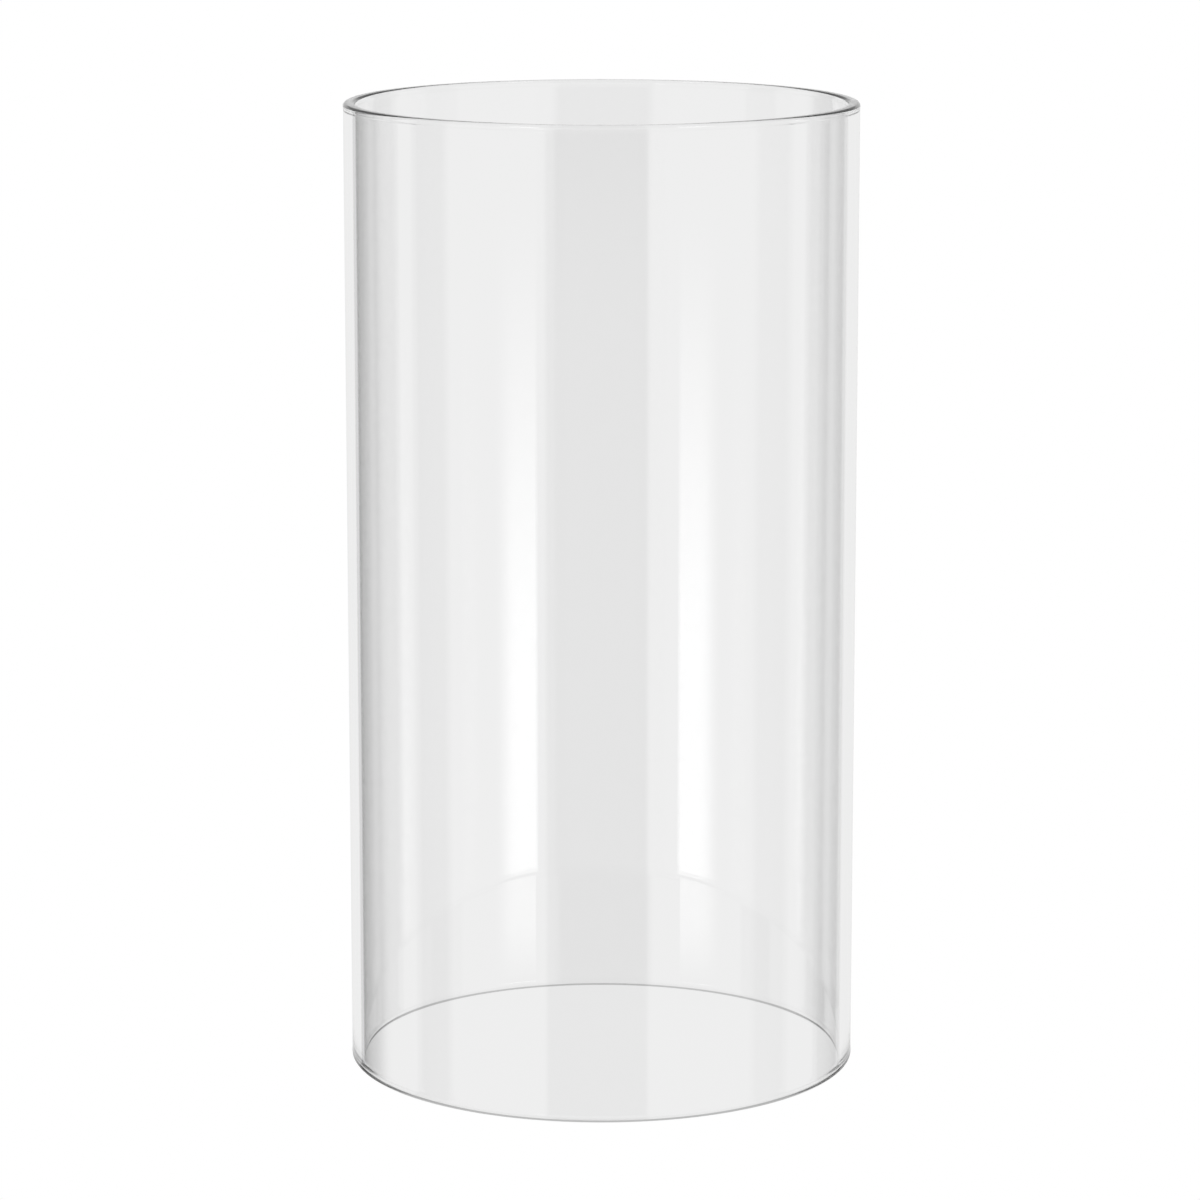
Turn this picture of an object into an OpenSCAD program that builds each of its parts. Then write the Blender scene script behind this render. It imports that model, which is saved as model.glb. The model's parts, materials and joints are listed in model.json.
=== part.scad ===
// Clear glass cylinder, open at both ends, with fire-polished rims.
// One piece of drawn glass tubing, cut square and melted smooth at each end.
// Millimetres, +Z up, origin on the axis in the plane of the lower rim.

/* [Tube] */
// Outside diameter of the straight wall
tube_od = 105; // [60:1:200]
// Height from one rim to the other
tube_h = 200; // [60:1:400]
// Thickness of the glass wall
wall = 2.4; // [1.6:0.1:6]

/* [Rims] */
// How far the melted bead stands out past each face of the wall
bead_proud = 0.07; // [0.05:0.01:0.5]
// Width of the flat land that each rim stands on
land_w = 1; // [0.4:0.1:1.8]

/* [Hidden] */
$fn = 180;

// Radius of the middle of the wall, where each bead is centred
wall_mid_r = (tube_od - wall) / 2;
// Half the bead's thickness, and the height of its centre above the land
bead_half = wall / 2 + bead_proud;
// Radius of the round that melts the bead's corners and leaves land_w flat between them
bead_r = sqrt(pow(bead_half, 2) + pow(land_w / 2, 2));

// Half section of the wall, from one bead's centre to the other's
module wall_section() {
    translate([wall_mid_r - wall / 2, bead_half])
        square([wall, tube_h - 2 * bead_half]);
}

// Half section of one bead: a round cut off flat at its land and at both sides
module bead_section() {
    intersection() {
        translate([wall_mid_r, bead_half])
            circle(r = bead_r);
        translate([wall_mid_r - bead_half, 0])
            square([2 * bead_half, 2 * bead_r]);
    }
}

// The whole tube, turned in one piece so that wall and beads are one glass
module glass_tube() {
    color([0.88, 0.92, 0.92, 0.35])
        rotate_extrude(angle = 360)
            union() {
                wall_section();
                bead_section();
                translate([0, tube_h])
                    mirror([0, 1])
                        bead_section();
            }
}

glass_tube();
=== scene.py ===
"""Looks of a clear glass cylinder, open at both ends, with melted rims, on a white studio floor."""
from __future__ import annotations

import json
import logging
import math
from dataclasses import dataclass, field
from enum import Enum

import bpy
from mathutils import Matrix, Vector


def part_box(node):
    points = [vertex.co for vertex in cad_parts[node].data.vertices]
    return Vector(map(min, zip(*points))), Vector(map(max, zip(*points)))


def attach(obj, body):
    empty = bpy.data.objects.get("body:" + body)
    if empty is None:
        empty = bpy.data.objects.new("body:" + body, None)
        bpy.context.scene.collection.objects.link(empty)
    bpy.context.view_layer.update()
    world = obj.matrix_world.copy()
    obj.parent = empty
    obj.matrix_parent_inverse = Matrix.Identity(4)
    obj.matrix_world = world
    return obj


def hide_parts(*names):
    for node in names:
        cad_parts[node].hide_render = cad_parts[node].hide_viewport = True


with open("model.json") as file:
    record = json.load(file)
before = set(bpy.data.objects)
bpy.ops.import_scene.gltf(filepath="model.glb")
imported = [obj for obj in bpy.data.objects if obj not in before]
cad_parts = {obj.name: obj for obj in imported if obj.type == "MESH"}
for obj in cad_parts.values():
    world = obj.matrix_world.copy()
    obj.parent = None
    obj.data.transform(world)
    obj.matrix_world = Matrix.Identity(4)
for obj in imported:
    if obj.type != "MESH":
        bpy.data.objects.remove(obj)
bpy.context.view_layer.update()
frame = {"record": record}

log = logging.getLogger("glass_cylinder")
MM = 0.001
GLASS_NODE = "glass_tube"
# Light passes at least four surfaces and can turn back many times inside a rim
LIGHT_BOUNCES = 32
WHITE = "FFFFFF"
MATH = "ShaderNodeMath"
# Settings of a Mix node that mixes two levels, and of a Map Range node that eases from 0 to 1
BLEND = {"data_type": "FLOAT"}
EASED = {"interpolation_type": "SMOOTHSTEP"}


def linear(hex_colour: str) -> tuple[float, float, float, float]:
    """Turns an sRGB hex colour to the linear colour that shaders use.

    Args:
        hex_colour: six hex digits, such as "F4F6F6".

    Returns:
        Red, green, blue and an alpha of 1.
    """
    parts = [int(hex_colour[i:i + 2], 16) / 255 for i in (0, 2, 4)]
    red, green, blue = (c / 12.92 if c <= 0.04045 else ((c + 0.055) / 1.055) ** 2.4 for c in parts)
    return red, green, blue, 1.0


def add_node(tree: bpy.types.NodeTree, kind: str, settings: dict | None = None,
             inputs: dict | None = None) -> bpy.types.Node:
    """Adds one node, gives it its settings and fills or links its inputs.

    Args:
        tree: the node tree that the node goes into.
        kind: the node's type, such as "ShaderNodeMath".
        settings: the node's own properties by name.
        inputs: by input name or number, a value, an output socket, or a node, whose first output is linked.

    Returns:
        The new node.
    """
    node = tree.nodes.new(kind)
    for name, value in (settings or {}).items():
        setattr(node, name, value)
    for key, value in (inputs or {}).items():
        if isinstance(value, bpy.types.Node):
            tree.links.new(value.outputs[0], node.inputs[key])
        elif isinstance(value, bpy.types.NodeSocket):
            tree.links.new(value, node.inputs[key])
        else:
            node.inputs[key].default_value = value
    return node


@dataclass(frozen=True)
class ClearGlass:
    """Drawn borosilicate tube with fire-polished rims: clear, colourless and as smooth as a mirror."""

    colour: str = WHITE
    ior: float = 1.47
    roughness: float = 0.0

    def material(self) -> bpy.types.Material:
        """Makes the glass.

        Returns:
            The glass material.
        """
        made = bpy.data.materials.new("clear_borosilicate_glass")
        made.use_nodes = True
        tree = made.node_tree
        tree.nodes.clear()
        # No haze and no tint: the eye sees only edges, bent light and what the two walls mirror
        shader = add_node(tree, "ShaderNodeBsdfPrincipled", inputs={
            "Base Color": linear(self.colour),
            "Roughness": self.roughness,
            "IOR": self.ior,
            "Transmission Weight": 1.0,
        })
        add_node(tree, "ShaderNodeOutputMaterial", inputs={"Surface": shader})
        return made


@dataclass
class GlassTube:
    """The whole object: one glass wall between two melted rims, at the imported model's sizes."""

    outer_radius: float
    inner_radius: float
    bead_outer_radius: float
    height: float
    land_width: float = 1.0 * MM
    corner_height: float = 0.77 * MM
    neck_length: float = 0.9 * MM
    corner_rows: int = 16
    neck_rows: int = 10
    wall_rows: int = 8
    segments: int = 512
    weld_distance: float = 0.01 * MM
    finish: ClearGlass = field(default_factory=ClearGlass)

    @property
    def half_wall(self) -> float:
        """Half the thickness of the straight wall."""
        return (self.outer_radius - self.inner_radius) / 2

    @property
    def middle_radius(self) -> float:
        """Radius of the middle of the wall, where the beads are centred."""
        return (self.outer_radius + self.inner_radius) / 2

    @property
    def half_bead(self) -> float:
        """Half the thickness of a bead."""
        return self.bead_outer_radius - self.middle_radius

    def half_thickness(self, height: float) -> float:
        """Gives half the thickness at a height: oval at a corner, eased in a neck, even in the wall.

        Args:
            height: distance above the lower rim, in metres.

        Returns:
            Half the thickness there, in metres.
        """
        depth = min(height, self.height - height)
        if depth < self.corner_height:
            drop = 1 - depth / self.corner_height
            return self.land_width / 2 + (self.half_bead - self.land_width / 2) * math.sqrt(1 - drop ** 2)
        share = min((depth - self.corner_height) / self.neck_length, 1.0)
        ease = share * share * (3 - 2 * share)
        return self.half_bead + (self.half_wall - self.half_bead) * ease

    def row_heights(self) -> list[float]:
        """Lists the heights of the section's rows: close ones in corners and necks, far apart in the wall.

        Returns:
            Heights above the lower land in rising order, the last one the upper land's.
        """
        turns = [math.pi / 2 * i / self.corner_rows for i in range(1, self.corner_rows + 1)]
        corner = [self.corner_height * (1 - math.cos(turn)) for turn in turns]
        steps = [self.neck_length * i / self.neck_rows for i in range(1, self.neck_rows + 1)]
        neck = [self.corner_height + step for step in steps]
        first = neck[-1] + self.neck_length / 2
        run = self.height - 2 * first
        wall = [first + run * i / self.wall_rows for i in range(self.wall_rows + 1)]
        lower = corner + neck
        return lower + wall + [self.height - h for h in reversed(lower)] + [self.height]

    def build(self) -> bpy.types.Object:
        """Extrudes the wall's section from one land to the other and spins it once round the axis.

        Returns:
            The finished tube.
        """
        bpy.ops.object.select_all(action="DESELECT")
        bpy.ops.mesh.primitive_plane_add(size=self.land_width, location=(self.middle_radius, 0, 0))
        tube = bpy.context.object
        tube.name = "glass_tube_clear"
        bpy.ops.object.transform_apply(location=True, rotation=True, scale=True)
        self._keep_one_edge(tube)
        self._extrude_section()
        self._spin()
        log.info("%s: %d faces", tube.name, len(tube.data.polygons))
        return tube

    def _keep_one_edge(self, tube: bpy.types.Object) -> None:
        """Leaves only one edge of the start plane, laid across the wall as the lower land.

        Args:
            tube: the start plane, as wide as the land.
        """
        for polygon in tube.data.polygons:
            polygon.select = False
        for edge in tube.data.edges:
            edge.select = False
        for vertex in tube.data.vertices:
            vertex.select = vertex.co.y > 0
        bpy.ops.object.mode_set(mode="EDIT")
        bpy.ops.mesh.select_mode(type="VERT")
        bpy.ops.mesh.delete(type="VERT")
        bpy.ops.mesh.select_all(action="SELECT")
        bpy.ops.transform.translate(value=(0, self.land_width / 2, 0))

    def _extrude_section(self) -> None:
        """Draws the land's two ends up row by row, at the glass's thickness, and joins them at the top."""
        height, half = 0.0, self.land_width / 2
        for next_height in self.row_heights():
            next_half = self.half_thickness(next_height)
            bpy.ops.mesh.extrude_vertices_move(
                TRANSFORM_OT_translate={"value": (0, 0, next_height - height)})
            bpy.ops.transform.resize(
                value=(next_half / half, 1, 1),
                center_override=(self.middle_radius, 0, next_height))
            height, half = next_height, next_half
        bpy.ops.mesh.edge_face_add()

    def _spin(self) -> None:
        """Spins the section into the tube, joins the seam and points the faces outwards."""
        bpy.ops.mesh.select_all(action="SELECT")
        bpy.ops.mesh.spin(steps=self.segments, angle=2 * math.pi, center=(0, 0, 0), axis=(0, 0, 1))
        bpy.ops.mesh.select_all(action="SELECT")
        bpy.ops.mesh.remove_doubles(threshold=self.weld_distance)
        bpy.ops.mesh.normals_make_consistent(inside=False)
        bpy.ops.object.mode_set(mode="OBJECT")
        bpy.ops.object.shade_smooth()

    def dress(self, tube: bpy.types.Object) -> None:
        """Gives the tube its glass and its place in the frame.

        Args:
            tube: the finished tube.
        """
        tube.data.materials.clear()
        tube.data.materials.append(self.finish.material())
        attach(tube, "root")
        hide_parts(GLASS_NODE)


class Wall(Enum):
    """Which wall of the tube mirrors a panel: the one nearer the eye, or the one across the tube."""

    FRONT = "front"
    BACK = "back"


@dataclass(frozen=True)
class Panel:
    """One upright panel of the studio: a span of compass angles round the object, and how bright it is.

    rise and fall are the angles over which it brightens at its start and fades at its end. dark_at and
    full_at are elevations between which it comes in, if they differ. foot is the elevation where it goes
    out, over twice foot_half, if it does. All are in degrees.
    """

    name: str
    wall: Wall
    start: float
    end: float
    level: float
    rise: float = 3.0
    fall: float = 3.0
    dark_at: float = 0.0
    full_at: float = 0.0
    foot: float = -90.0
    foot_half: float = 0.5

    def spans(self) -> list[tuple[bool, float, float]]:
        """Lists the spans over which the panel comes in.

        Returns:
            For each span, whether it is one of elevation and not of compass angle, where the panel is
            dark and where it is full.
        """
        found = [(False, self.start - self.rise / 2, self.start + self.rise / 2),
                 (False, self.end + self.fall / 2, self.end - self.fall / 2)]
        if self.dark_at != self.full_at:
            found.append((True, self.dark_at, self.full_at))
        if self.foot > -90:
            found.append((True, self.foot - self.foot_half, self.foot + self.foot_half))
        return found


@dataclass(frozen=True)
class Band:
    """A level above or below the panels, which takes over between two elevations, in degrees."""

    start: float
    full: float
    level: float


@dataclass
class Studio:
    """White floor and the light all round it.

    Compass angles count from -Y, the side of the main view, and are positive towards +X. Light counts as
    having crossed the tube once it has passed more glass surfaces than crossed_after, and as mirrored once
    more surfaces than mirrored_after have mirrored it.
    """

    white_level: float = 1.0
    backdrop_level: float = 0.86
    surround_level: float = 0.06
    crossed_after: float = 2.5
    mirrored_after: float = 0.5
    floor_radius: float = 6.0
    floor_drop: float = 0.2 * MM
    floor_corners: int = 96
    bands: tuple[Band, ...] = (Band(8, 13, 0.5), Band(27, 35, 0.03), Band(-36, -48, 0.86))
    panels: tuple[Panel, ...] = (
        Panel("left_white_card", Wall.FRONT, -74, -25, 0.79),
        Panel("left_gap", Wall.FRONT, -93, -74, 0.14),
        Panel("left_back_card", Wall.FRONT, -121, -93, 0.78, rise=14),
        Panel("back_sheet_left", Wall.FRONT, -180, -146, 0.79, rise=0.1),
        Panel("right_white_card", Wall.FRONT, 21, 74, 0.79),
        Panel("right_gap", Wall.FRONT, 74, 94, 0.38),
        Panel("right_back_card", Wall.FRONT, 94, 117, 0.78),
        Panel("right_dim_card", Wall.FRONT, 117, 142, 0.3),
        Panel("back_sheet_right", Wall.FRONT, 142, 180, 0.79, fall=0.1),
        Panel("low_front_lamp", Wall.FRONT, -30, 21, 0.8, dark_at=-1, full_at=3),
        Panel("camera_side", Wall.BACK, -22, 22.6, 0.42, dark_at=-5, full_at=-8),
        Panel("left_far_card", Wall.BACK, -119, -22, 0.84),
        Panel("right_far_card", Wall.BACK, 22.6, 118, 0.84),
        Panel("far_sheet_left", Wall.BACK, -180, -146, 0.79, rise=0.1),
        Panel("far_sheet_right", Wall.BACK, 146, 180, 0.79, fall=0.1),
        Panel("right_strip_lamp", Wall.BACK, 32, 48, 2.3, rise=0.6, fall=12,
              dark_at=-6, full_at=-12, foot=-15.3),
        Panel("left_strip_lamp", Wall.BACK, -55, -38.5, 2.3, rise=12, fall=0.6,
              dark_at=-6, full_at=-12, foot=-15.3),
    )

    def light(self) -> None:
        """Builds the surround: white to the eye, a pale backdrop through glass, cards in reflections."""
        world = bpy.data.worlds.new("studio_surround")
        bpy.context.scene.world = world
        world.use_nodes = True
        tree = world.node_tree
        tree.nodes.clear()
        direction = add_node(tree, "ShaderNodeTexCoord").outputs["Generated"]
        split = add_node(tree, "ShaderNodeSeparateXYZ", inputs={0: direction})
        towards = add_node(tree, MATH, {"operation": "MULTIPLY"}, {0: split.outputs["Y"], 1: -1.0})
        turn = add_node(tree, MATH, {"operation": "ARCTAN2"}, {0: split.outputs["X"], 1: towards})
        compass = add_node(tree, MATH, {"operation": "DEGREES"}, {0: turn})
        rise = add_node(tree, MATH, {"operation": "ARCSINE"}, {0: split.outputs["Z"]})
        lift = add_node(tree, MATH, {"operation": "DEGREES"}, {0: rise})
        front, back = (self._wall_light(tree, wall, compass, lift) for wall in (Wall.FRONT, Wall.BACK))
        path = add_node(tree, "ShaderNodeLightPath")
        crossed = add_node(tree, MATH, {"operation": "GREATER_THAN"}, {
            0: path.outputs["Transmission Depth"], 1: self.crossed_after})
        mirrored = add_node(tree, MATH, {"operation": "GREATER_THAN"}, {
            0: path.outputs["Glossy Depth"], 1: self.mirrored_after})
        cards = add_node(tree, "ShaderNodeMix", BLEND, {0: crossed, 2: front, 3: back})
        level = add_node(tree, "ShaderNodeMix", BLEND, {0: mirrored, 2: self.backdrop_level, 3: cards})
        for band in self.bands:
            reach = add_node(tree, "ShaderNodeMapRange", EASED, {
                "Value": lift, "From Min": band.start, "From Max": band.full})
            level = add_node(tree, "ShaderNodeMix", BLEND, {0: reach, 2: level, 3: band.level})
        seen = add_node(tree, "ShaderNodeMix", BLEND, {
            0: path.outputs["Is Camera Ray"], 2: level, 3: self.white_level})
        shader = add_node(tree, "ShaderNodeBackground", inputs={"Color": linear(WHITE), "Strength": seen})
        add_node(tree, "ShaderNodeOutputWorld", inputs={"Surface": shader})

    def _wall_light(self, tree: bpy.types.NodeTree, wall: Wall, compass: bpy.types.Node,
                    lift: bpy.types.Node) -> bpy.types.Node:
        """Adds up what one wall of the tube mirrors.

        Args:
            tree: the world's node tree.
            wall: the wall whose panels are added up.
            compass: angle round the object, in degrees.
            lift: elevation, in degrees.

        Returns:
            The node that gives the light's level.
        """
        total: object = self.surround_level
        for panel in (p for p in self.panels if p.wall is wall):
            light: object = panel.level
            for is_lift, dark, full in panel.spans():
                share = add_node(tree, "ShaderNodeMapRange", EASED, {
                    "Value": lift if is_lift else compass, "From Min": dark, "From Max": full})
                light = add_node(tree, MATH, {"operation": "MULTIPLY"}, {0: light, 1: share})
            total = add_node(tree, MATH, {"operation": "ADD"}, {0: total, 1: light})
        return total

    def floor(self) -> bpy.types.Object:
        """Lays the white floor, which only the camera sees.

        Returns:
            The floor.
        """
        bpy.ops.object.select_all(action="DESELECT")
        bpy.ops.mesh.primitive_circle_add(
            vertices=self.floor_corners, radius=self.floor_radius, fill_type="NGON",
            location=(0, 0, -self.floor_drop))
        floor = bpy.context.object
        floor.name = "studio_floor"
        bpy.ops.object.transform_apply(location=True, rotation=True, scale=True)
        white = bpy.data.materials.new("white_studio_floor")
        white.use_nodes = True
        tree = white.node_tree
        tree.nodes.clear()
        # Overlit paper: it reads as pure white, with no shade and no horizon
        glow = add_node(tree, "ShaderNodeEmission", inputs={
            "Color": linear(WHITE), "Strength": self.white_level})
        add_node(tree, "ShaderNodeOutputMaterial", inputs={"Surface": glow})
        floor.data.materials.append(white)
        for ray in ("diffuse", "glossy", "transmission", "volume_scatter", "shadow"):
            setattr(floor, f"visible_{ray}", False)
        return floor


@dataclass
class StudioCamera:
    """The camera: how far off and how high it stands in metres, and how far it looks down in degrees."""

    distance: float = 0.97499
    rise: float = 0.28788
    aside: float = -0.00032
    pitch_down: float = 11.0975
    lens: float = 143.73
    sensor: float = 36.0
    nearest: float = 10 * MM

    def place(self) -> bpy.types.Object:
        """Makes the camera the scene's own.

        Returns:
            The camera.
        """
        lens = bpy.data.cameras.new("studio_camera")
        lens.lens = self.lens
        lens.sensor_width = self.sensor
        lens.sensor_fit = "HORIZONTAL"
        lens.clip_start = self.nearest
        camera = bpy.data.objects.new("studio_camera", lens)
        bpy.context.scene.collection.objects.link(camera)
        camera.location = (self.aside, -self.distance, self.rise)
        camera.rotation_euler = (math.radians(90 - self.pitch_down), 0, 0)
        bpy.context.scene.camera = camera
        return camera


def tube_from_frame() -> GlassTube:
    """Reads the tube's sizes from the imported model.

    Returns:
        The tube, with nothing built yet.
    """
    radius = {m["name"]: m["dims"].get("r_mm", 0) * MM for m in frame["record"]["mounts"]}
    low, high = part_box(GLASS_NODE)
    return GlassTube(
        outer_radius=radius["outside_wall"],
        inner_radius=radius["inside_bore"],
        bead_outer_radius=(high.x - low.x) / 2,
        height=high.z - low.z,
    )


def main() -> None:
    """Builds the camera, the studio and the glass, and reports each."""
    logging.basicConfig(level=logging.INFO, format="%(name)s: %(message)s")
    scene = bpy.context.scene
    scene.view_settings.view_transform = "Standard"
    for limit in ("max_bounces", "transmission_bounces", "glossy_bounces"):
        setattr(scene.cycles, limit, LIGHT_BOUNCES)
    camera = StudioCamera().place()
    log.info("%s at %s", camera.name, tuple(round(v, 3) for v in camera.location))
    studio = Studio()
    studio.light()
    log.info("%s laid", studio.floor().name)
    tube = tube_from_frame()
    tube.dress(tube.build())


if __name__ == "__main__":
    main()
